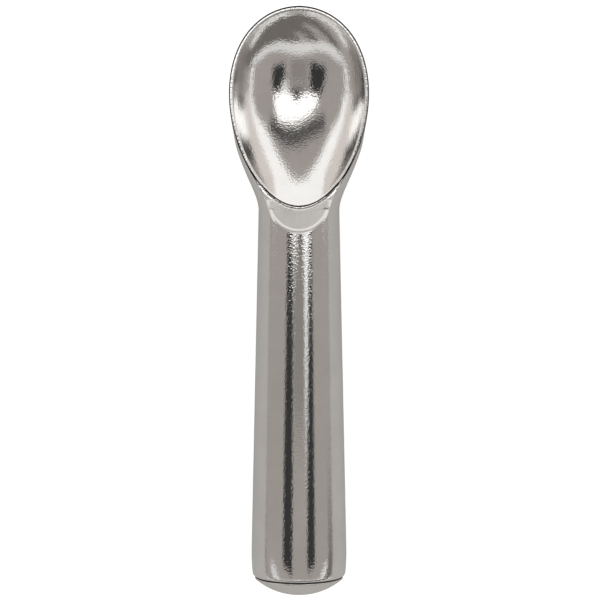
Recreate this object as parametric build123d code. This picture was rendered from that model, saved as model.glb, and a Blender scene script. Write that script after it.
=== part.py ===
from build123d import *

import os
from math import acos, asin, cos, degrees, pi, radians, sin, sqrt, tan

# Ice cream dipper with a liquid-filled handle, as separate solids that come apart on a bench.
# The bowl, neck and hollow handle are one aluminium casting. A domed cap with a spigot closes the
# handle on a thin washer, and an O-ring on the spigot holds the heat-carrying liquid in.
# Frame: +Y from the cap to the bowl's tip, +Z up out of the bowl, +X to the right.
# Origin: under the dipper's middle, on the surface that it lies on. Lengths are millimetres.

# Whole dipper
LENGTH = 180.0
TIP_Y = LENGTH / 2
CAP_END_Y = -LENGTH / 2

# Handle, a tapered barrel round an axis parallel to Y
AXIS_Z = 14.6  # the barrel's widest place and the bowl's lowest both touch the surface
SWELL_R = 14.58  # where the taper runs into the rounded end
SWELL_Y = -76.2
NECK_R = 12.5
NECK_Y = 24.0
END_FACE_Y = -84.1
END_FACE_R = 13.7
END_SHOULDER_Y = -83.2
END_SHOULDER_R = 14.28

# Rim of the bowl: an egg in a plane parallel to the axis
RIM_ABOVE_AXIS = 5.0
RIM_Z = AXIS_Z + RIM_ABOVE_AXIS
RIM_HALF_LENGTH = 31.1
RIM_HALF_WIDTH = 21.15
EGG = 0.15  # how much wider the egg is towards the tip
EGG_STEPS = 8
RIM_MIDDLE_Y = TIP_Y - RIM_HALF_LENGTH
HEEL_Y = RIM_MIDDLE_Y - RIM_HALF_LENGTH
LIP = 1.15  # width of the rim

# Bowl's hollow: a stretched arc across the bowl at every place along it
HOLLOW_LEVEL = 14.14  # how far above the rim the arcs' centres are, before the stretch
HOLLOW_STEEPNESS = 0.992  # the stretch along Z
HOLLOW_RUN_OUT = 1.0  # how far the hollow's cutter runs on past the rim at both ends
HOLLOW_STEPS = 14

# Neck, which blends the barrel into the bowl
NECK_START_Y = 24.5
SHOULDER_START_Y = 25.0
SHOULDER_END_Y = 38.0
FLARE_FULL_Y = 46.0
FLARE_BLEND = 4
BEVEL_ANGLE = 48.6
BEVEL_HEIGHT = 12.0
TOP_HEIGHT_LIMIT = 12.0
LEVEL_RISE = 0.9  # share of the waist's rise from which the top height is at its limit
LEAST_NARROWING = 1e-6  # keeps a division from zero where the neck meets the egg
SHOULDER_SECTIONS = 10
NECK_SECTIONS = 10

# Inside of the handle
BORE_R = 11.5
BORE_END_Y = -74.0
CAVITY_R = (11.2, 9.7)  # at the cap's end and at the neck
CAVITY_DOME_Y = 11.0
AIR_LEVEL = 7.5  # the liquid's surface above the axis, with the dipper lying down
LIQUID_GAP = 0.05

# Cap, washer and O-ring
WASHER_T = 0.4
WASHER_R = 13.5
DOME_R = 20.8
CAP_RIM_ROUND = 0.35
SPIGOT_R = BORE_R - 0.05
SPIGOT_LENGTH = 8.0
SPIGOT_WALL = 1.5  # under the groove
SPIGOT_ROOT = 1.0  # how far the spigot runs into the dome, so that they are one solid
SPIGOT_BEVEL = 0.6
RING_SECTION_R = 0.9
RING_Y = -80.0
GROOVE_CLEARANCE = 0.1
GROOVE_FLOOR_R = BORE_R - 2 * RING_SECTION_R - GROOVE_CLEARANCE

AXIS = Axis((0, 0, AXIS_Z), (0, 1, 0))
PROFILE = Plane((0, 0, AXIS_Z), x_dir=(0, 1, 0), z_dir=(1, 0, 0))  # its x is Y, its y is the radius


def smooth(value, low, high):
    """0 below low, 1 above high, and a smooth step between."""
    t = min(max((value - low) / (high - low), 0.0), 1.0)
    return t * t * (3 - 2 * t)


def handle_radius(y):
    return NECK_R + (NECK_Y - y) * (SWELL_R - NECK_R) / (NECK_Y - SWELL_Y)


def egg_square(y, inset=0.0):
    """The square of the half width of the egg, or of one inset from it; below zero past its ends."""
    u = (y - RIM_MIDDLE_Y) / (RIM_HALF_LENGTH - inset)
    return (RIM_HALF_WIDTH - inset) ** 2 * (1 - u * u) * (1 + EGG * u) ** 2


def egg_half_width(y):
    return sqrt(max(egg_square(y), 0.0))


# The egg is widest where the derivative of sqrt(1 - u^2) (1 + EGG u) is zero.
WIDEST_U = (sqrt(1 + 8 * EGG**2) - 1) / (4 * EGG)
WIDEST_Y = RIM_MIDDLE_Y + WIDEST_U * RIM_HALF_LENGTH


def turned(outline):
    """The solid that an outline in the profile plane makes when it is turned about the handle's axis."""
    return revolve(PROFILE * outline, AXIS)


def ring_outline(start_y, end_y, inner_r, outer_r):
    """The outline of a ring or plug between two places along the axis."""
    middle = ((start_y + end_y) / 2, (inner_r + outer_r) / 2)
    return Pos(*middle) * Rectangle(end_y - start_y, outer_r - inner_r)


def egg_point(angle, inset=0.0):
    """A point of the egg's outline: along Y from its middle, and away from its long axis."""
    along = -(RIM_HALF_LENGTH - inset) * cos(angle)
    return (along, (RIM_HALF_WIDTH - inset) * sin(angle) * (1 - EGG * cos(angle)))


def half_egg(inset=0.0):
    """Half of the egg's outline, from its heel to its tip."""
    widest = acos(-WIDEST_U)
    heel = [egg_point(widest * i / EGG_STEPS, inset) for i in range(EGG_STEPS + 1)]
    tip = [egg_point(widest + (pi - widest) * i / EGG_STEPS, inset) for i in range(EGG_STEPS + 1)]
    return Spline(*heel, tangents=[(0, 1), (1, 0)]) + Spline(*tip, tangents=[(1, 0), (0, -1)])


def egg_bottom():
    """The egg turned about its long axis in the rim plane, then stretched so that it touches Z = 0."""
    outline = half_egg()
    widest_r = egg_half_width(WIDEST_Y)
    egg = revolve(Plane.XY * make_face(outline + Line(outline @ 1, outline @ 0)), Axis.X)
    deep = scale(egg, by=(1, 1, RIM_Z / widest_r), about=(0, 0, 0))
    return Pos(0, RIM_MIDDLE_Y, RIM_Z) * Rot(0, 0, 90) * deep


def below_rim(solid):
    return solid & Pos(0, RIM_MIDDLE_Y, RIM_Z - LENGTH / 2) * Box(LENGTH, LENGTH, LENGTH)


def bowl_hollow():
    """The bowl's inside. It is turned about a line above the bowl and then stretched along Z."""
    start_y = HEEL_Y + LIP - HOLLOW_RUN_OUT
    step = (TIP_Y - LIP + HOLLOW_RUN_OUT - start_y) / HOLLOW_STEPS
    places = [start_y + step * i for i in range(HOLLOW_STEPS + 1)]
    arc = [(y, -sqrt(egg_square(y, LIP) + HOLLOW_LEVEL**2)) for y in places]
    outline = Spline(*arc) + Polyline(arc[-1], (arc[-1][0], 0), (arc[0][0], 0), arc[0])
    side = Plane((0, 0, 0), x_dir=(0, 1, 0), z_dir=(1, 0, 0))
    turned_arc = revolve(side * make_face(outline), Axis.Y)
    stretched = scale(turned_arc, by=(1, 1, HOLLOW_STEEPNESS), about=(0, 0, 0))
    return below_rim(Pos(0, 0, RIM_Z + HOLLOW_STEEPNESS * HOLLOW_LEVEL) * stretched)


def neck_section(y):
    """The neck's cross-section: half an ellipse below its widest level and half an ellipse above."""
    radius = handle_radius(y)
    egg = egg_half_width(y)
    flare = 1 - smooth(y, FLARE_FULL_Y, WIDEST_Y)
    half_width = (egg**FLARE_BLEND + (radius * flare) ** FLARE_BLEND) ** (1 / FLARE_BLEND)
    rise = smooth(y, NECK_START_Y, WIDEST_Y)
    waist = RIM_ABOVE_AXIS * rise
    depth = radius * (1 - rise) + AXIS_Z * rise + waist
    narrowing = sqrt(max(1 - (egg / half_width) ** 2, LEAST_NARROWING))
    rim_height = TOP_HEIGHT_LIMIT
    if rise < LEVEL_RISE:
        rim_height = min((RIM_ABOVE_AXIS - waist) / narrowing, TOP_HEIGHT_LIMIT)
    drop = smooth(y, SHOULDER_START_Y, SHOULDER_END_Y)
    height = radius * (1 - drop) + rim_height * drop
    plane = Plane((0, y, AXIS_Z + waist), x_dir=(1, 0, 0), z_dir=(0, -1, 0))
    below = Edge.make_ellipse(half_width, depth, plane, 180, 360)
    above = Edge.make_ellipse(half_width, height, plane, 0, 180)
    return Wire([below, above])


def barrel():
    """The handle's outside, from its end face to where the neck begins."""
    start_r = handle_radius(NECK_START_Y)
    taper = (SWELL_Y - NECK_START_Y, SWELL_R - start_r)
    line = Line((NECK_START_Y, 0), (NECK_START_Y, start_r))
    line += Line((NECK_START_Y, start_r), (SWELL_Y, SWELL_R))
    swell = TangentArc((SWELL_Y, SWELL_R), (END_SHOULDER_Y, END_SHOULDER_R), tangent=taper)
    line += swell
    line += TangentArc(swell @ 1, (END_FACE_Y, END_FACE_R), tangent=swell % 1)
    line += Polyline((END_FACE_Y, END_FACE_R), (END_FACE_Y, 0), (NECK_START_Y, 0))
    return turned(make_face(line))


def neck_part(start_y, end_y, sections):
    step = (end_y - start_y) / sections
    places = [start_y + step * i for i in range(sections)] + [end_y]
    return Solid.make_loft([neck_section(y) for y in places])


def neck():
    """The neck sinks to the rim beside the heel and then flares to the bowl, so it is two lofts."""
    shoulder = neck_part(NECK_START_Y, SHOULDER_END_Y, SHOULDER_SECTIONS)
    return shoulder + neck_part(SHOULDER_END_Y, WIDEST_Y, NECK_SECTIONS)


def egg_wire(inset, z):
    """The egg's whole outline at a level, or that of one inset from it."""
    half = half_egg(inset)
    outline = Wire((half + mirror(half, Plane.XZ)).edges())
    return Pos(0, RIM_MIDDLE_Y, z) * Rot(0, 0, 90) * outline


def above_rim():
    """The space above the rim plane in front, and above the bevel that climbs outward round the heel."""
    run = BEVEL_HEIGHT / tan(radians(BEVEL_ANGLE))
    bevel = Solid.make_loft([egg_wire(0, RIM_Z), egg_wire(-run, RIM_Z + BEVEL_HEIGHT)], ruled=True)
    front = Pos(0, SHOULDER_END_Y + LENGTH / 2, RIM_Z + LENGTH / 2) * Box(LENGTH, LENGTH, LENGTH)
    return bevel + front


def cavity(gap=0.0):
    """The hollow in the handle: a bore for the cap, then a cored taper that ends in a dome."""
    bore = BORE_R - gap
    wide = CAVITY_R[0] - gap
    narrow = CAVITY_R[1] - gap
    mouth = END_FACE_Y
    line = Polyline((mouth, 0), (mouth, bore), (BORE_END_Y - gap, bore), (BORE_END_Y - gap, wide))
    line += Line((BORE_END_Y - gap, wide), (CAVITY_DOME_Y, narrow))
    line += CenterArc((CAVITY_DOME_Y, 0), narrow, 0, 90)
    line += Line((CAVITY_DOME_Y + narrow, 0), (mouth, 0))
    return turned(make_face(line))


def scoop_body():
    """The casting: barrel, neck and bowl, cut off at the rim and bevel, then hollowed from both ends."""
    tip_side = Pos(0, WIDEST_Y + LENGTH / 2, RIM_Z - LENGTH / 2) * Box(LENGTH, LENGTH, LENGTH)
    cut = above_rim()
    body = (barrel() - cut) + (neck() - cut) + (egg_bottom() & tip_side)
    return body - bowl_hollow() - cavity()


def cap_dome():
    """A cap of a sphere, flat where it rests on the washer."""
    rim_y = END_FACE_Y - WASHER_T
    centre_y = CAP_END_Y + DOME_R
    rim_r = sqrt(DOME_R**2 - (centre_y - rim_y) ** 2)
    arc = CenterArc((centre_y, 0), DOME_R, 180, -degrees(asin(rim_r / DOME_R)))
    outline = make_face(arc + Polyline((rim_y, rim_r), (rim_y, 0), (CAP_END_Y, 0)))
    return turned(fillet(outline.vertices().sort_by(Axis.Y)[-1], CAP_RIM_ROUND))


def cap_spigot():
    """A hollow plug for the bore, bevelled at its inner end and grooved for the O-ring."""
    root_y = END_FACE_Y - WASHER_T - SPIGOT_ROOT
    tip_y = END_FACE_Y + SPIGOT_LENGTH
    plug = ring_outline(root_y, tip_y, 0, SPIGOT_R)
    plug = chamfer(plug.vertices().group_by(Axis.X)[-1].sort_by(Axis.Y)[-1], SPIGOT_BEVEL)
    half_width = RING_SECTION_R + GROOVE_CLEARANCE
    groove = ring_outline(RING_Y - half_width, RING_Y + half_width, GROOVE_FLOOR_R, BORE_R)
    hollow = ring_outline(END_FACE_Y, tip_y, 0, GROOVE_FLOOR_R - SPIGOT_WALL)
    return turned(plug) - turned(groove) - turned(hollow)


def end_cap():
    return cap_dome() + cap_spigot()


def cap_gasket():
    return turned(ring_outline(END_FACE_Y - WASHER_T, END_FACE_Y, BORE_R, WASHER_R))


def seal_ring():
    centre_r = BORE_R - RING_SECTION_R - GROOVE_CLEARANCE / 2
    return turned(Pos(RING_Y, centre_r) * Circle(RING_SECTION_R))


def heat_transfer_fluid():
    """The liquid fill, with a level surface where the air space begins."""
    plug = turned(ring_outline(CAP_END_Y, END_FACE_Y + SPIGOT_LENGTH + LIQUID_GAP, 0, SWELL_R))
    air = Pos(0, 0, AXIS_Z + AIR_LEVEL + LENGTH / 2) * Box(2 * LENGTH, 2 * LENGTH, LENGTH)
    return cavity(LIQUID_GAP) - plug - air


NODES = {
    "scoop_body": scoop_body,
    "end_cap": end_cap,
    "cap_gasket": cap_gasket,
    "seal_ring": seal_ring,
    "heat_transfer_fluid": heat_transfer_fluid,
}

os.makedirs("parts", exist_ok=True)
for name, make in NODES.items():
    export_step(make(), f"parts/{name}.step")
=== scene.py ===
import math

import bmesh
import bpy
import numpy as np
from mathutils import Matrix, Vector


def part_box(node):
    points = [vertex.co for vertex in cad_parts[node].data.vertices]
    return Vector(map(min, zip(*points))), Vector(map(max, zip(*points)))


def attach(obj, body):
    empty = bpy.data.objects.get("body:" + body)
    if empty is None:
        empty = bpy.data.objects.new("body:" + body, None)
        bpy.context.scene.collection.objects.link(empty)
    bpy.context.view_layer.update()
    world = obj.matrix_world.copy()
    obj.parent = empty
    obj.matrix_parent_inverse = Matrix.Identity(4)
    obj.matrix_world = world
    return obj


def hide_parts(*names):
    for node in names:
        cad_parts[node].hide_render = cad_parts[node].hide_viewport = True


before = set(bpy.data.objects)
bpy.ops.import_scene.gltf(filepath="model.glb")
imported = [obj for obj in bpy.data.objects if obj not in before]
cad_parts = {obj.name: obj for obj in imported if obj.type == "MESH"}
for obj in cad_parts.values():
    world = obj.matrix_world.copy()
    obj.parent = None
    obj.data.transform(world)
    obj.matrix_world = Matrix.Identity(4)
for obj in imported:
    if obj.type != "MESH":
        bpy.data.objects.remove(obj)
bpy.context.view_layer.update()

# An ice cream dipper lying on its back. Its looks are built here in millimetres round the CAD
# frame: the casting and its cap are new, finely divided meshes with rounded edges, and the washer,
# the O-ring and the liquid are the CAD's own pieces with better materials.
MM = 0.001

# ---------------------------------------------------------------- places from the frame
body_low, body_high = (np.array(corner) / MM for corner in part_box("scoop_body"))
cap_low, cap_high = (np.array(corner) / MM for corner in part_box("end_cap"))
TIP_Y = body_high[1]
END_FACE_Y = body_low[1]
CAP_END_Y = cap_low[1]
SPIGOT_TIP_Y = cap_high[1]
AXIS_Z = (cap_low[2] + cap_high[2]) / 2

# ---------------------------------------------------------------- the CAD's driving dimensions
SWELL_R = 14.58
SWELL_Y = -76.2
NECK_R = 12.5
NECK_Y = 24.0
END_SHOULDER_Y = -83.2
END_SHOULDER_R = 14.28
END_FACE_R = 13.7
RIM_ABOVE_AXIS = 5.0
RIM_Z = AXIS_Z + RIM_ABOVE_AXIS
RIM_HALF_LENGTH = 31.1
RIM_HALF_WIDTH = 21.15
EGG = 0.15
RIM_MIDDLE_Y = TIP_Y - RIM_HALF_LENGTH
HEEL_Y = RIM_MIDDLE_Y - RIM_HALF_LENGTH
WIDEST_U = (math.sqrt(1 + 8 * EGG**2) - 1) / (4 * EGG)
WIDEST_Y = RIM_MIDDLE_Y + WIDEST_U * RIM_HALF_LENGTH
LIP = 1.15
HOLLOW_STEEPNESS = 0.992
HOLLOW_LEVEL = 14.14
NECK_START_Y = 24.5
SHOULDER_START_Y = 25.0
SHOULDER_END_Y = 38.0
FLARE_FULL_Y = 46.0
BEVEL = math.tan(math.radians(48.6))
TOP_HEIGHT_LIMIT = 12.0
BORE_R = 11.5
BORE_END_Y = -74.0
CAVITY_START_R = 11.2
CAVITY_END_R = 9.7
CAVITY_DOME_Y = 11.0
WASHER_T = 0.4
DOME_R = 20.8
CAP_RIM_ROUND = 0.35
SPIGOT_R = BORE_R - 0.05
SPIGOT_BEVEL = 0.6
SPIGOT_WALL_R = 8.1
RING_Y = -80.0
GROOVE_HALF_WIDTH = 1.0
GROOVE_FLOOR_R = 9.6

# ---------------------------------------------------------------- how finely, and how round
HALF_RING = 96
BOWL_STATIONS = 120
HANDLE_STEP = 1.5
NECK_STEP = 0.2
NECK_FINE_Y = 17.0
BOWL_RINGS = 64
SHOULDER_ROUND = 0.75
LIP_ROUND = 0.45
LIP_INNER_ROUND = 0.4
VALLEY_ROUND = 0.25
LIP_FILLET_STEPS = 6
SKIN_DEPTH = 0.004
SLOPE_STEP = 0.02
LEAST_SLOPE = 1e-3
NEAREST_SHARE = 0.2  # a point is never moved nearer its anchor than this share of the way
HALVINGS = 24
HARD_EDGE = 40  # degrees, from which an edge is shaded sharp
CAVITY_DOME_STEPS = 12
SWELL_STEPS = 14
END_EDGE_STEPS = 8
CAP_DOME_STEPS = 40
CAP_EDGE_STEPS = 8


def smooth(value, low, high):
    """0 below low, 1 above high, and a smooth step between."""
    t = np.clip((value - low) / (high - low), 0.0, 1.0)
    return t * t * (3 - 2 * t)


def soft_max(a, b, reach):
    """The larger of two values, rounded where they are within reach of each other."""
    near = np.maximum(reach - np.abs(a - b), 0.0) / reach
    return np.maximum(a, b) + near * near * reach / 4


def slope_of(level, p):
    """How fast a level rises along each axis, at each point."""
    slopes = []
    for axis in range(p.shape[-1]):
        shift = np.zeros(p.shape[-1])
        shift[axis] = SLOPE_STEP
        slopes.append((level(p + shift) - level(p - shift)) / (2 * SLOPE_STEP))
    return np.stack(slopes, axis=-1)


def distance_to(level, p):
    """About how far a point is outside the form where the level is zero."""
    steepness = np.linalg.norm(slope_of(level, p), axis=-1)
    return level(p) / np.maximum(steepness, LEAST_SLOPE)


# ---------------------------------------------------------------- the casting's outer form
def handle_radius(y):
    return NECK_R + (NECK_Y - y) * (SWELL_R - NECK_R) / (NECK_Y - SWELL_Y)


def egg_half_width(y):
    u = (y - RIM_MIDDLE_Y) / RIM_HALF_LENGTH
    inside = np.sqrt(np.maximum(1 - u * u, 0.0))
    return RIM_HALF_WIDTH * inside * (1 + EGG * u)


def egg_square(y, inset):
    """The square of the egg's half width, which runs on smoothly below zero past its ends."""
    u = (y - RIM_MIDDLE_Y) / (RIM_HALF_LENGTH - inset)
    return (RIM_HALF_WIDTH - inset) ** 2 * (1 - u * u) * (1 + EGG * u) ** 2


WIDEST = float(egg_half_width(WIDEST_Y))


def section(y):
    """Half width, waist level, and the heights of the two half ellipses above and below it."""
    y = np.asarray(y, float)
    radius = handle_radius(y)
    egg = egg_half_width(y)
    flare = 1 - smooth(y, FLARE_FULL_Y, WIDEST_Y)
    width = (egg**4 + (radius * flare) ** 4) ** 0.25
    rise = smooth(y, NECK_START_Y, WIDEST_Y)
    waist = RIM_ABOVE_AXIS * rise
    below = radius * (1 - rise) + AXIS_Z * rise + waist
    narrowing = np.sqrt(np.maximum(1 - (egg / width) ** 2, 1e-6))
    at_rim = np.minimum((RIM_ABOVE_AXIS - waist) / narrowing, TOP_HEIGHT_LIMIT)
    at_rim = np.where(rise < 0.9, at_rim, TOP_HEIGHT_LIMIT)
    drop = smooth(y, SHOULDER_START_Y, SHOULDER_END_Y)
    above = radius * (1 - drop) + at_rim * drop
    front = y > WIDEST_Y
    depth = RIM_Z * egg / WIDEST
    width = np.maximum(np.where(front, egg, width), 1e-4)
    above = np.maximum(np.where(front, depth, above), 1e-4)
    below = np.maximum(np.where(front, depth, below), 1e-4)
    return width, AXIS_Z + waist, above, below


def hull_level(p):
    """Below zero inside the uncut casting, and above zero outside it."""
    width, waist_z, above, below = section(p[..., 1])
    rise = p[..., 2] - waist_z
    height = np.where(rise > 0, above, below)
    return np.sqrt((p[..., 0] / width) ** 2 + (rise / height) ** 2) - 1


def egg_level(place):
    """Below zero inside the rim's egg, seen from above, and above zero outside it."""
    u = (place[..., 1] - RIM_MIDDLE_Y) / RIM_HALF_LENGTH
    v = place[..., 0] / (RIM_HALF_WIDTH * (1 + EGG * u))
    return np.sqrt(u * u + v * v) - 1


def cut_distance(p):
    """How far a point is above the rim plane or above the bevel that climbs outward from the rim."""
    away = distance_to(egg_level, p[..., :2])
    climb = soft_max(away * BEVEL, 0.0, VALLEY_ROUND)
    slope = np.where(away > 0, math.cos(math.atan(BEVEL)), 1.0)
    return (p[..., 2] - RIM_Z - climb) * slope


def outside(p):
    """Above zero outside the casting's rounded form, with its hollows filled in."""
    reach = SHOULDER_ROUND + (LIP_ROUND - SHOULDER_ROUND) * smooth(p[..., 1], HEEL_Y - 1, HEEL_Y + 4)
    return soft_max(distance_to(hull_level, p), cut_distance(p), reach)


def pulled_in(points, anchors):
    """Each point moved towards its anchor until it lies on the casting's rounded form."""
    low = np.full(points.shape[:-1], NEAREST_SHARE)
    high = np.ones(points.shape[:-1])
    for _ in range(HALVINGS):
        middle = (low + high) / 2
        out = outside(anchors + middle[..., None] * (points - anchors)) > 0
        high = np.where(out, middle, high)
        low = np.where(out, low, middle)
    return anchors + high[..., None] * (points - anchors)


def round_rings(profile):
    """Rings about the handle's axis, one for each (y, radius) of the profile."""
    angle = np.linspace(math.pi / 2, 5 * math.pi / 2, 2 * HALF_RING + 1)
    profile = np.array(profile, float)
    y, radius = profile[:, :1], profile[:, 1:]
    x = radius * np.cos(angle)
    return np.stack([x, y + 0 * x, AXIS_Z + radius * np.sin(angle)], axis=-1)


def rim_angle(across, up, sunk):
    """Where a ray from sunk below a circle's centre, slanting across and up, leaves the circle."""
    square = across**2 + up**2
    reach = (up * sunk + np.sqrt(np.maximum((up * sunk) ** 2 - square * (sunk**2 - 1), 0.0))) / square
    return np.arctan2(reach * up - sunk, reach * across)


def hull_rings(stations):
    """Rings of the outer form, each from the top or the left rim, round below, to the right."""
    y = np.array(stations)[:, None]
    width, waist_z, above, below = section(y)
    rise = smooth(y, NECK_START_Y, WIDEST_Y)
    sunk = 0.5 * RIM_Z * rise
    start = rim_angle(egg_half_width(y) / width, (RIM_Z - waist_z + sunk) / above, sunk / above)
    share = np.linspace(0, 1, HALF_RING + 1)
    crowding = 1 + 0.5 * smooth(y, NECK_FINE_Y, HEEL_Y)
    angle = start - (math.pi / 2 + start) * share**crowding
    height = np.where(angle > 0, above, below)
    half = np.stack([-width * np.cos(angle), y + 0 * angle, waist_z + height * np.sin(angle)], axis=-1)
    mirrored = half[:, -2::-1] * np.array([-1.0, 1.0, 1.0])
    rings = np.concatenate([half, mirrored], axis=1)
    front = np.maximum(y - WIDEST_Y, 0.0)
    anchors = np.stack([0 * y, y - 0.4 * front, waist_z - sunk], axis=-1)
    return pulled_in(rings, np.broadcast_to(anchors, rings.shape))


def arc_points(start, end, centre, steps):
    """Points of a circle's arc about a centre, both ends included."""
    (ax, ay), (bx, by), (cx, cy) = start, end, centre
    radius = math.hypot(ax - cx, ay - cy)
    first = math.atan2(ay - cy, ax - cx)
    turn = (math.atan2(by - cy, bx - cx) - first + math.pi) % (2 * math.pi) - math.pi
    angles = [first + turn * i / steps for i in range(steps + 1)]
    return [(cx + radius * math.cos(a), cy + radius * math.sin(a)) for a in angles]


def tangent_arc(start, direction, end, steps):
    """Points of the arc that leaves start in a direction and reaches end, and its last direction."""
    (dx, dy), (ex, ey) = direction, (end[0] - start[0], end[1] - start[1])
    length = math.hypot(dx, dy)
    nx, ny = -dy / length, dx / length
    radius = (ex * ex + ey * ey) / (2 * (ex * nx + ey * ny))
    centre = (start[0] + nx * radius, start[1] + ny * radius)
    sign = 1 if radius > 0 else -1
    last = (-(end[1] - centre[1]) * sign, (end[0] - centre[0]) * sign)
    return arc_points(start, end, centre, steps), last


def end_profile():
    """The hollow from its domed far end to the mouth, then the handle's rounded end."""
    quarter = np.linspace(0, math.pi / 2, CAVITY_DOME_STEPS + 1)
    dome = [(CAVITY_DOME_Y + CAVITY_END_R * math.cos(a), CAVITY_END_R * math.sin(a)) for a in quarter]
    bore = [(BORE_END_Y, CAVITY_START_R), (BORE_END_Y, BORE_R), (END_FACE_Y, BORE_R)]
    taper = (SWELL_Y - NECK_START_Y, SWELL_R - handle_radius(NECK_START_Y))
    shoulder = (END_SHOULDER_Y, END_SHOULDER_R)
    swell, direction = tangent_arc((SWELL_Y, SWELL_R), taper, shoulder, SWELL_STEPS)
    edge, _ = tangent_arc(swell[-1], direction, (END_FACE_Y, END_FACE_R), END_EDGE_STEPS)
    return dome + bore + edge[::-1] + swell[-2::-1]


def egg_outline(inset):
    """The rim's egg, or one inset from it, at the bowl's stations: x and y of its right side."""
    angle = np.linspace(0, math.pi, BOWL_STATIONS + 1)
    y = RIM_MIDDLE_Y - (RIM_HALF_LENGTH - inset) * np.cos(angle)
    x = (RIM_HALF_WIDTH - inset) * np.sin(angle) * (1 - EGG * np.cos(angle))
    return x, y


def both_sides(x, y, z):
    """A closed loop up the left side of the bowl and down the right one."""
    x, y, z = (np.broadcast_to(value, y.shape) for value in (x, y, z))
    left = np.stack([-x, y, z], axis=-1)
    right = np.stack([x, y, z], axis=-1)
    return np.concatenate([left, right[-2::-1]])


def lip_loops():
    """Loops from beside the rim's outer edge to the middle of the lip's top."""
    loops = []
    for share in (0.5, 0.75, 1.0):
        x, y = egg_outline(share * LIP / 2)
        top = both_sides(x, y, RIM_Z)
        loops.append(pulled_in(top, top - np.array([0.0, 0.0, 3.0])))
    return loops


def lip_inner_loops():
    """Loops over the lip's inner edge, rounded between its flat top and the hollow's wall."""
    loops = []
    for i in range(LIP_FILLET_STEPS + 1):
        x, y = egg_outline(LIP - LIP_INNER_ROUND + 2 * LIP_INNER_ROUND * i / LIP_FILLET_STEPS)
        loops.append(both_sides(x, y, RIM_Z - inner_drop(x, y)))
    return loops


def hollow_drop(x, y):
    """How far the hollow is below the rim plane; above zero outside the hollow's outline."""
    across = egg_square(y, LIP) - x * x
    return HOLLOW_STEEPNESS * (np.sqrt(np.maximum(across + HOLLOW_LEVEL**2, 1.0)) - HOLLOW_LEVEL)


def inner_drop(x, y):
    """The hollow's depth with its edge rounded into the lip's flat top."""
    return soft_max(hollow_drop(x, y), 0.0, LIP_INNER_ROUND)


def hollow_loops():
    """Loops down the bowl's inside, from below the lip to the middle of the bottom."""
    rim_x, rim_y = egg_outline(LIP + LIP_INNER_ROUND)
    loops = []
    for share in np.linspace(1.0, 0.0, BOWL_RINGS + 1)[1:]:
        x = rim_x * share
        y = RIM_MIDDLE_Y + (rim_y - RIM_MIDDLE_Y) * share
        loops.append(both_sides(x, y, RIM_Z - inner_drop(x, y)))
    return loops


# ---------------------------------------------------------------- meshes
def grid_faces(rows, columns, first):
    """Quads between neighbouring rows of points that were numbered row by row."""
    faces = []
    for r in range(rows - 1):
        for c in range(columns - 1):
            a = first + r * columns + c
            faces.append((a, a + 1, a + columns + 1, a + columns))
    return faces


def mesh_piece(name, grids):
    """A closed mesh piece from grids of points in millimetres, welded where they meet."""
    points, faces = [], []
    for grid in grids:
        faces += grid_faces(grid.shape[0], grid.shape[1], len(points))
        points += (grid.reshape(-1, 3) * MM).tolist()
    mesh = bpy.data.meshes.new(name)
    mesh.from_pydata(points, [], faces)
    work = bmesh.new()
    work.from_mesh(mesh)
    bmesh.ops.remove_doubles(work, verts=work.verts, dist=2e-6)
    bmesh.ops.dissolve_degenerate(work, edges=work.edges, dist=1e-7)
    bmesh.ops.recalc_face_normals(work, faces=work.faces)
    work.to_mesh(mesh)
    work.free()
    mesh.shade_smooth()
    mesh.set_sharp_from_angle(angle=math.radians(HARD_EDGE))
    piece = bpy.data.objects.new(name, mesh)
    bpy.context.scene.collection.objects.link(piece)
    return piece


def shade_by_form(piece):
    """The outer skin is shaded by the form itself, and not by the slanting quads round the heel."""
    mesh = piece.data
    points = np.array([vert.co for vert in mesh.vertices]) / MM
    on_skin = (np.abs(outside(points)) < SKIN_DEPTH) & (points[:, 1] > SWELL_Y + HANDLE_STEP)
    slope = slope_of(outside, points)
    slope /= np.maximum(np.linalg.norm(slope, axis=-1, keepdims=True), LEAST_SLOPE)
    mesh.normals_split_custom_set_from_vertices(np.where(on_skin[:, None], slope, 0.0).tolist())


def casting():
    """The bowl, neck and hollow handle as one closed skin."""
    end_rings = round_rings(end_profile())
    handle_y = np.linspace(SWELL_Y, NECK_FINE_Y, round((NECK_FINE_Y - SWELL_Y) / HANDLE_STEP) + 1)
    neck_y = np.linspace(NECK_FINE_Y, HEEL_Y, round((HEEL_Y - NECK_FINE_Y) / NECK_STEP) + 1)
    bowl_y = egg_outline(0.0)[1]
    stations = [*handle_y[1:], *neck_y[1:], *bowl_y[1:]]
    hull = hull_rings(stations)
    outer = np.concatenate([end_rings, hull])
    rim = hull[-(BOWL_STATIONS + 1):]
    rim_loop = np.concatenate([rim[:, 0], rim[-2::-1, -1]])
    inside = np.stack([rim_loop, *lip_loops(), *lip_inner_loops(), *hollow_loops()])
    piece = mesh_piece("dipper_casting", [outer, inside])
    shade_by_form(piece)
    return piece


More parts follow.
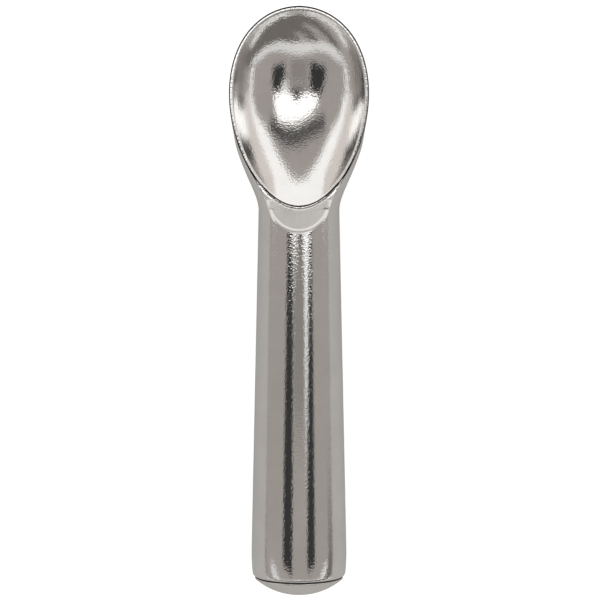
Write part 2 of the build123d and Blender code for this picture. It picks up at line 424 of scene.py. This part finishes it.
def cap():
    """The domed cap and its grooved spigot, turned about the handle's axis."""
    rim_y = END_FACE_Y - WASHER_T
    centre = (CAP_END_Y + DOME_R, 0.0)
    round_y = rim_y - CAP_RIM_ROUND
    round_r = math.sqrt((DOME_R - CAP_RIM_ROUND) ** 2 - (centre[0] - round_y) ** 2)
    scale = DOME_R / (DOME_R - CAP_RIM_ROUND)
    meets = (centre[0] + (round_y - centre[0]) * scale, round_r * scale)
    dome = arc_points((CAP_END_Y, 0.0), meets, centre, CAP_DOME_STEPS)
    edge = arc_points(meets, (rim_y, round_r), (round_y, round_r), CAP_EDGE_STEPS)
    spigot = [
        (rim_y, SPIGOT_R),
        (RING_Y - GROOVE_HALF_WIDTH, SPIGOT_R),
        (RING_Y - GROOVE_HALF_WIDTH, GROOVE_FLOOR_R),
        (RING_Y + GROOVE_HALF_WIDTH, GROOVE_FLOOR_R),
        (RING_Y + GROOVE_HALF_WIDTH, SPIGOT_R),
        (SPIGOT_TIP_Y - SPIGOT_BEVEL, SPIGOT_R),
        (SPIGOT_TIP_Y, SPIGOT_R - SPIGOT_BEVEL),
        (SPIGOT_TIP_Y, SPIGOT_WALL_R),
        (END_FACE_Y, SPIGOT_WALL_R),
        (END_FACE_Y, 0.0),
    ]
    return mesh_piece("dipper_cap", [round_rings(dome + edge[1:] + spigot)])


# ---------------------------------------------------------------- materials
# The bevel is left duller than the rest, and a thin near-black band of painted shade follows the
# lip: along its outer edge in front and along its inner edge round the heel. Levels are shares of
# the rim's egg.
BEVEL_ROUGHER = 0.26
SHADE_LINE_SWAP_Y = (30.0, 46.0)
SHADE_LINE_INNER_LEVEL = 0.966
SHADE_LINE_OUTER_LEVEL = 0.989
SHADE_LINE_HALF_LEVEL = 0.007
# Near black: the colour of the painted shade band along the lip.
PAINTED_SHADE_COLOUR = (0.012, 0.012, 0.012, 1)
SHADE_LINE_BELOW_RIM = (0.8, 0.5)
BEVEL_ABOVE_RIM = (0.1, 0.6)
BEVEL_BELOW_CONE = (1.5, 0.9)
PEBBLE_SCALE = 2000.0


def new_material(name):
    material = bpy.data.materials.new(name)
    material.use_nodes = True
    shader = material.node_tree.nodes["Principled BSDF"]
    return material, material.node_tree, shader


def node(tree, kind, **values):
    made = tree.nodes.new(kind)
    for key, value in values.items():
        if isinstance(getattr(made, key, None), (str, bool)):
            setattr(made, key, value)
        else:
            made.inputs[key.replace("_", " ").capitalize()].default_value = value
    return made


def math_node(tree, operation, first, second=None):
    """A sum or the like of two values, each a number or another node's output."""
    made = tree.nodes.new("ShaderNodeMath")
    made.operation = operation
    for socket, value in zip(made.inputs, (first, second)):
        if isinstance(value, bpy.types.NodeSocket):
            tree.links.new(value, socket)
        elif value is not None:
            socket.default_value = value
    return made.outputs[0]


def step_between(tree, value, low, high):
    """0 below low, 1 above high, and a smooth step between; low may be the larger one."""
    made = tree.nodes.new("ShaderNodeMapRange")
    made.interpolation_type = "SMOOTHSTEP"
    tree.links.new(value, made.inputs["Value"])
    made.inputs["From Min"].default_value = low
    made.inputs["From Max"].default_value = high
    return made.outputs["Result"]


def body_places(tree, place):
    """Where the bevel round the heel is, and where the thin band of painted shade along the lip is."""
    split = tree.nodes.new("ShaderNodeSeparateXYZ")
    tree.links.new(place.outputs["Object"], split.inputs[0])
    x, y, z = split.outputs
    u = math_node(tree, "DIVIDE", math_node(tree, "SUBTRACT", y, RIM_MIDDLE_Y * MM), RIM_HALF_LENGTH * MM)
    wider = math_node(tree, "MULTIPLY_ADD", u, EGG)
    wider.node.inputs[2].default_value = 1.0
    v = math_node(tree, "DIVIDE", x, math_node(tree, "MULTIPLY", wider, RIM_HALF_WIDTH * MM))
    squares = math_node(tree, "ADD", math_node(tree, "MULTIPLY", u, u), math_node(tree, "MULTIPLY", v, v))
    level = math_node(tree, "SQRT", squares)
    along = math_node(tree, "SUBTRACT", y, RIM_MIDDLE_Y * MM)
    across_square = math_node(tree, "MULTIPLY", x, x)
    along_square = math_node(tree, "MULTIPLY", along, along)
    radial = math_node(tree, "SQRT", math_node(tree, "ADD", across_square, along_square))
    share = math_node(tree, "SUBTRACT", 1.0, math_node(tree, "DIVIDE", 1.0, level))
    climb = math_node(tree, "MULTIPLY", math_node(tree, "MULTIPLY", radial, share), BEVEL)
    above_bevel = math_node(tree, "SUBTRACT", math_node(tree, "SUBTRACT", z, RIM_Z * MM), climb)
    raised = step_between(tree, z, *((RIM_Z + height) * MM for height in BEVEL_ABOVE_RIM))
    near_cone = step_between(tree, above_bevel, *(-depth * MM for depth in BEVEL_BELOW_CONE))
    bevel = math_node(tree, "MULTIPLY", near_cone, raised)
    swapped = step_between(tree, y, *(place_y * MM for place_y in SHADE_LINE_SWAP_Y))
    outward = math_node(tree, "MULTIPLY", swapped, SHADE_LINE_OUTER_LEVEL - SHADE_LINE_INNER_LEVEL)
    moved = math_node(tree, "SUBTRACT", level, outward)
    aside = math_node(tree, "ABSOLUTE", math_node(tree, "SUBTRACT", moved, SHADE_LINE_INNER_LEVEL))
    near = step_between(tree, aside, SHADE_LINE_HALF_LEVEL * 1.4, SHADE_LINE_HALF_LEVEL * 0.7)
    high = step_between(tree, z, *((RIM_Z - depth) * MM for depth in SHADE_LINE_BELOW_RIM))
    return bevel, math_node(tree, "MULTIPLY", near, high)


def cast_metal(name, colour_low, colour_high, rough_low, rough_high, speckle, is_body):
    """Hand-polished cast aluminium: slow changes of tone, fine speckle and a satin haze; on the body also
    a thin band of painted shade along the lip.
    """
    material, tree, shader = new_material(name)
    link = tree.links.new
    place = node(tree, "ShaderNodeTexCoord")
    shader.inputs["Metallic"].default_value = 1.0

    tone = node(tree, "ShaderNodeTexNoise", Scale=90.0, Detail=6.0, Roughness=0.62)
    link(place.outputs["Object"], tone.inputs["Vector"])
    ramp = node(tree, "ShaderNodeValToRGB")
    ramp.color_ramp.elements[0].position = 0.3
    ramp.color_ramp.elements[0].color = (*colour_low, 1)
    ramp.color_ramp.elements[1].position = 0.7
    ramp.color_ramp.elements[1].color = (*colour_high, 1)
    link(tone.outputs["Fac"], ramp.inputs["Fac"])
    colour = ramp.outputs["Color"]

    haze = node(tree, "ShaderNodeTexNoise", Scale=260.0, Detail=5.0, Roughness=0.6)
    link(place.outputs["Object"], haze.inputs["Vector"])
    spread = node(tree, "ShaderNodeMapRange")
    spread.inputs["From Min"].default_value = 0.3
    spread.inputs["From Max"].default_value = 0.7
    spread.inputs["To Min"].default_value = rough_low
    spread.inputs["To Max"].default_value = rough_high
    link(haze.outputs["Fac"], spread.inputs["Value"])
    rough = spread.outputs["Result"]

    if is_body:
        bevel, shade_line = body_places(tree, place)
        # Painted shade: a near-black band is mixed into the metal's colour along the lip's edges.
        shade_mix = tree.nodes.new("ShaderNodeMix")
        shade_mix.data_type = "RGBA"
        link(shade_line, shade_mix.inputs["Factor"])
        link(colour, shade_mix.inputs[6])
        shade_mix.inputs[7].default_value = PAINTED_SHADE_COLOUR
        colour = shade_mix.outputs[2]
        rough = math_node(tree, "ADD", rough, math_node(tree, "MULTIPLY", bevel, BEVEL_ROUGHER))
    link(colour, shader.inputs["Base Color"])
    link(rough, shader.inputs["Roughness"])

    pebble = node(tree, "ShaderNodeTexNoise", Scale=PEBBLE_SCALE, Detail=1.0, Roughness=0.5)
    link(place.outputs["Object"], pebble.inputs["Vector"])
    bump = node(tree, "ShaderNodeBump", Strength=1.0, Distance=speckle * MM)
    link(pebble.outputs["Fac"], bump.inputs["Height"])
    link(bump.outputs["Normal"], shader.inputs["Normal"])
    return material


def rubber(name):
    material, tree, shader = new_material(name)
    link = tree.links.new
    place = node(tree, "ShaderNodeTexCoord")
    grain = node(tree, "ShaderNodeTexNoise", Scale=2500.0, Detail=4.0)
    link(place.outputs["Object"], grain.inputs["Vector"])
    ramp = node(tree, "ShaderNodeValToRGB")
    ramp.color_ramp.elements[0].color = (0.012, 0.012, 0.013, 1)
    ramp.color_ramp.elements[1].color = (0.03, 0.029, 0.028, 1)
    link(grain.outputs["Fac"], ramp.inputs["Fac"])
    link(ramp.outputs["Color"], shader.inputs["Base Color"])
    shader.inputs["Roughness"].default_value = 0.62
    bump = node(tree, "ShaderNodeBump", Strength=0.5, Distance=0.02 * MM)
    link(grain.outputs["Fac"], bump.inputs["Height"])
    link(bump.outputs["Normal"], shader.inputs["Normal"])
    return material


def liquid(name):
    material, tree, shader = new_material(name)
    link = tree.links.new
    place = node(tree, "ShaderNodeTexCoord")
    swirl = node(tree, "ShaderNodeTexNoise", Scale=60.0, Detail=2.0)
    link(place.outputs["Object"], swirl.inputs["Vector"])
    ramp = node(tree, "ShaderNodeValToRGB")
    ramp.color_ramp.elements[0].color = (0.55, 0.62, 0.60, 1)
    ramp.color_ramp.elements[1].color = (0.68, 0.74, 0.72, 1)
    link(swirl.outputs["Fac"], ramp.inputs["Fac"])
    link(ramp.outputs["Color"], shader.inputs["Base Color"])
    shader.inputs["Roughness"].default_value = 0.06
    shader.inputs["IOR"].default_value = 1.38
    shader.inputs["Transmission Weight"].default_value = 0.8
    return material


def finish_node(name, material):
    """A carried-over CAD node gets its material."""
    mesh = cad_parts[name].data
    mesh.materials.clear()
    mesh.materials.append(material)


# ---------------------------------------------------------------- stage
SENSOR_WIDTH = 36.0
FOCAL_LENGTH = 92.67
CAMERA_PLACE = (0.31, 0.39, 489.6)
FLOOR_HALF = 6.0
FLOOR_DROP = 0.06
REFLECTED_FLOOR_DROP = 0.05
TENT_R = 3.0
TENT_LAYER_GAP = 0.03
PANEL_CUTS = 7
WARM = (1.0, 0.925, 0.87)
WHITE = (1.0, 0.99, 0.975)
NEUTRAL = (1.0, 1.0, 1.0)


def camera():
    """Straight above the dipper, with its length upright in the frame."""
    data = bpy.data.cameras.new("camera")
    data.sensor_width = SENSOR_WIDTH
    data.lens = FOCAL_LENGTH
    data.clip_start = 0.01
    data.clip_end = 50.0
    made = bpy.data.objects.new("camera", data)
    made.location = [place * MM for place in CAMERA_PLACE]
    bpy.context.scene.collection.objects.link(made)
    bpy.context.scene.camera = made


def emission(name, colour, strength):
    material = bpy.data.materials.new(name)
    material.use_nodes = True
    tree = material.node_tree
    tree.nodes.clear()
    shader = tree.nodes.new("ShaderNodeEmission")
    shader.inputs["Color"].default_value = (*colour, 1)
    shader.inputs["Strength"].default_value = strength
    out = tree.nodes.new("ShaderNodeOutputMaterial")
    tree.links.new(shader.outputs["Emission"], out.inputs["Surface"])
    return material


def mirrored_only(thing):
    """Seen in the metal's reflections, but not by the camera, and it lights nothing else."""
    thing.visible_camera = False
    thing.visible_diffuse = False
    thing.visible_shadow = False


def round_outline(radius, corners):
    turns = [2 * math.pi * i / corners for i in range(corners)]
    return [(radius * math.cos(turn), radius * math.sin(turn)) for turn in turns]


# Panels of the light tent, farthest first: name, colour, radiance and outline. The outline is
# (degrees east, degrees north) of straight up, measured along the tent's dome. This isn't a plain
# studio light: the panels are fitted to the reflections seen on a real dipper from straight above.
TENT = [
    ("dome", WARM, 0.38, round_outline(90, 36)),
    ("south_far", WARM, 0.17, [(-88, -12), (-74, -10), (-54, -37), (0, -42), (54, -36), (76, -10),
                               (88, -12), (80, -40), (45, -77), (0, -89), (-45, -77), (-80, -40)]),
    ("south_ring", WHITE, 0.75, [(-72, -17), (-66, -24), (-54, -36), (-34, -42), (0, -41), (34, -42),
                                (54, -34), (70, -22), (74, -17), (65, -17), (61, -19), (46, -28),
                                (30, -31), (0, -27), (-30, -31), (-46, -27), (-57, -19), (-62, -17)]),
    ("south_horizon", WHITE, 0.85, [(-84, -32), (-62, -65), (-34, -83), (0, -90), (34, -83), (62, -65),
                                    (84, -32), (78, -30), (58, -60), (32, -77), (0, -83), (-32, -77),
                                    (-58, -60), (-78, -30)]),
    ("north_white", WHITE, 1.05, [(-74, 11), (-64, 11), (-60, 22), (-46, 30), (-32, 42), (-12, 52),
                                  (0, 54), (12, 52), (30, 42), (46, 30), (62, 22), (68, 11), (78, 11),
                                  (78, 42), (45, 76), (0, 89), (-45, 76), (-78, 42)]),
    ("north_side_west", WARM, 0.72, [(-80, 10), (-71, 10), (-66, 26), (-55, 40), (-42, 52), (-45, 76),
                                     (-78, 42)]),
    ("north_side_east", WARM, 0.72, [(80, 10), (74, 10), (68, 26), (56, 40), (43, 52), (45, 76),
                                     (78, 42)]),
    ("north_dark", NEUTRAL, 0.09, [(-36, 20), (-16, 23), (0, 26), (20, 27), (40, 21), (42, 29),
                                   (20, 36), (0, 35), (-16, 32), (-37, 28)]),
    ("strip_east", WHITE, 0.75, [(13, 7), (27, 7), (26, 2), (22, -4), (17, -4), (15, 0)]),
    ("overhead", WHITE, 1.4, [(-27, 5.5), (34, 5.5), (34, 16), (28, 23), (10, 24), (0, 22.5),
                              (-16, 19), (-26, 13)]),
    ("overhead_low", WARM, 0.25, [(-17, 5.5), (-6, 5.5), (14, 5.5), (14, 0.5), (-17, 0.5)]),
    ("gap_west", NEUTRAL, 0.04, [(-30, 7.5), (-18, 7), (-16, 2), (-16, -21), (-38, -15), (-38, -5)]),
    ("gap_east", NEUTRAL, 0.04, [(26, 6), (36, 6), (38, -4), (38, -15), (21, -19), (19, -5), (24, -1)]),
    ("bump", NEUTRAL, 0.03, [(-9, 5.5), (-3, 7), (1, 10), (5, 10), (8, 7.5), (13, 5.5), (10, 3.5),
                             (-8, 4)]),
]

# Cards close above the dipper: name, colour, radiance, box (west, east, south, north) and height.
CARDS = [
    ("camera_card", WARM, 0.27, (-58, 58, -50, 44), 300),
    ("bowl_card_west", WHITE, 0.9, (-150, -108, 40, 100), 62),
    ("bowl_card_east", WHITE, 0.9, (108, 150, 40, 100), 62),
]


def tent_panel(name, colour, radiance, outline, radius):
    """A glowing patch of the tent's dome that the camera doesn't see."""
    mesh = bpy.data.meshes.new(name)
    work = bmesh.new()
    work.faces.new([work.verts.new((x, y, 0)) for x, y in outline])
    bmesh.ops.triangulate(work, faces=work.faces)
    bmesh.ops.subdivide_edges(work, edges=work.edges, cuts=PANEL_CUTS, use_grid_fill=True)
    for vert in work.verts:
        away = math.radians(math.hypot(vert.co.x, vert.co.y))
        bearing = math.atan2(vert.co.y, vert.co.x)
        level = radius * math.sin(away)
        vert.co = (level * math.cos(bearing), level * math.sin(bearing), radius * math.cos(away))
    work.to_mesh(mesh)
    work.free()
    mesh.materials.append(emission(name, colour, radiance))
    panel = bpy.data.objects.new(name, mesh)
    bpy.context.scene.collection.objects.link(panel)
    mirrored_only(panel)


def low_card(name, colour, radiance, box, height):
    """A level card not far above the dipper, which the camera doesn't see. Its box is millimetres."""
    west, east, south, north = (edge * MM for edge in box)
    corners = [(west, south, 0), (east, south, 0), (east, north, 0), (west, north, 0)]
    mesh = bpy.data.meshes.new(name)
    mesh.from_pydata(corners, [], [(0, 1, 2, 3)])
    mesh.materials.append(emission(name, colour, radiance))
    card = bpy.data.objects.new(name, mesh)
    card.location.z = height * MM
    bpy.context.scene.collection.objects.link(card)
    mirrored_only(card)


def floor(name, tone, glow):
    """A plain level floor, just below the dipper."""
    half = FLOOR_HALF
    corners = [(-half, -half, 0), (half, -half, 0), (half, half, 0), (-half, half, 0)]
    mesh = bpy.data.meshes.new(name)
    mesh.from_pydata(corners, [], [(0, 1, 2, 3)])
    material, tree, shader = new_material(name)
    shader.inputs["Base Color"].default_value = (*tone, 1)
    shader.inputs["Roughness"].default_value = 0.9
    shader.inputs["Specular IOR Level"].default_value = 0.0
    shader.inputs["Emission Color"].default_value = (*tone, 1)
    shader.inputs["Emission Strength"].default_value = glow
    mesh.materials.append(material)
    made = bpy.data.objects.new(name, mesh)
    bpy.context.scene.collection.objects.link(made)
    return made


def floors():
    """The pale floor that is seen, and a greyer one in its place for the metal to reflect."""
    seen = floor("floor", (0.82, 0.82, 0.82), 0.62)
    seen.location.z = -FLOOR_DROP * MM
    seen.visible_glossy = False
    reflected = floor("floor_reflected", (0.36, 0.35, 0.335), 0.3)
    reflected.location.z = -REFLECTED_FLOOR_DROP * MM
    mirrored_only(reflected)


def surroundings():
    world = bpy.data.worlds.new("surroundings")
    world.use_nodes = True
    background = world.node_tree.nodes["Background"]
    background.inputs["Color"].default_value = (1.0, 1.0, 1.0, 1)
    background.inputs["Strength"].default_value = 1.0
    bpy.context.scene.world = world
    bpy.context.scene.view_settings.view_transform = "Standard"


camera()
surroundings()
floors()
for card in CARDS:
    low_card(*card)
for order, (name, colour, radiance, outline) in enumerate(TENT):
    tent_panel(name, colour, radiance, outline, TENT_R - TENT_LAYER_GAP * order)

METAL_LOW = (0.81, 0.80, 0.79)
METAL_HIGH = (0.88, 0.87, 0.86)
body_metal = cast_metal("cast_aluminium", METAL_LOW, METAL_HIGH, 0.05, 0.085, 0.032, True)
cap_metal = cast_metal("cap_aluminium", METAL_LOW, METAL_HIGH, 0.2, 0.28, 0.015, False)

body_piece = casting()
body_piece.data.materials.append(body_metal)
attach(body_piece, "root")
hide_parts("scoop_body")

cap_piece = cap()
cap_piece.data.materials.append(cap_metal)
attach(cap_piece, "root")
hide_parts("end_cap")

finish_node("cap_gasket", rubber("gasket_rubber"))
finish_node("seal_ring", rubber("seal_rubber"))
finish_node("heat_transfer_fluid", liquid("liquid"))
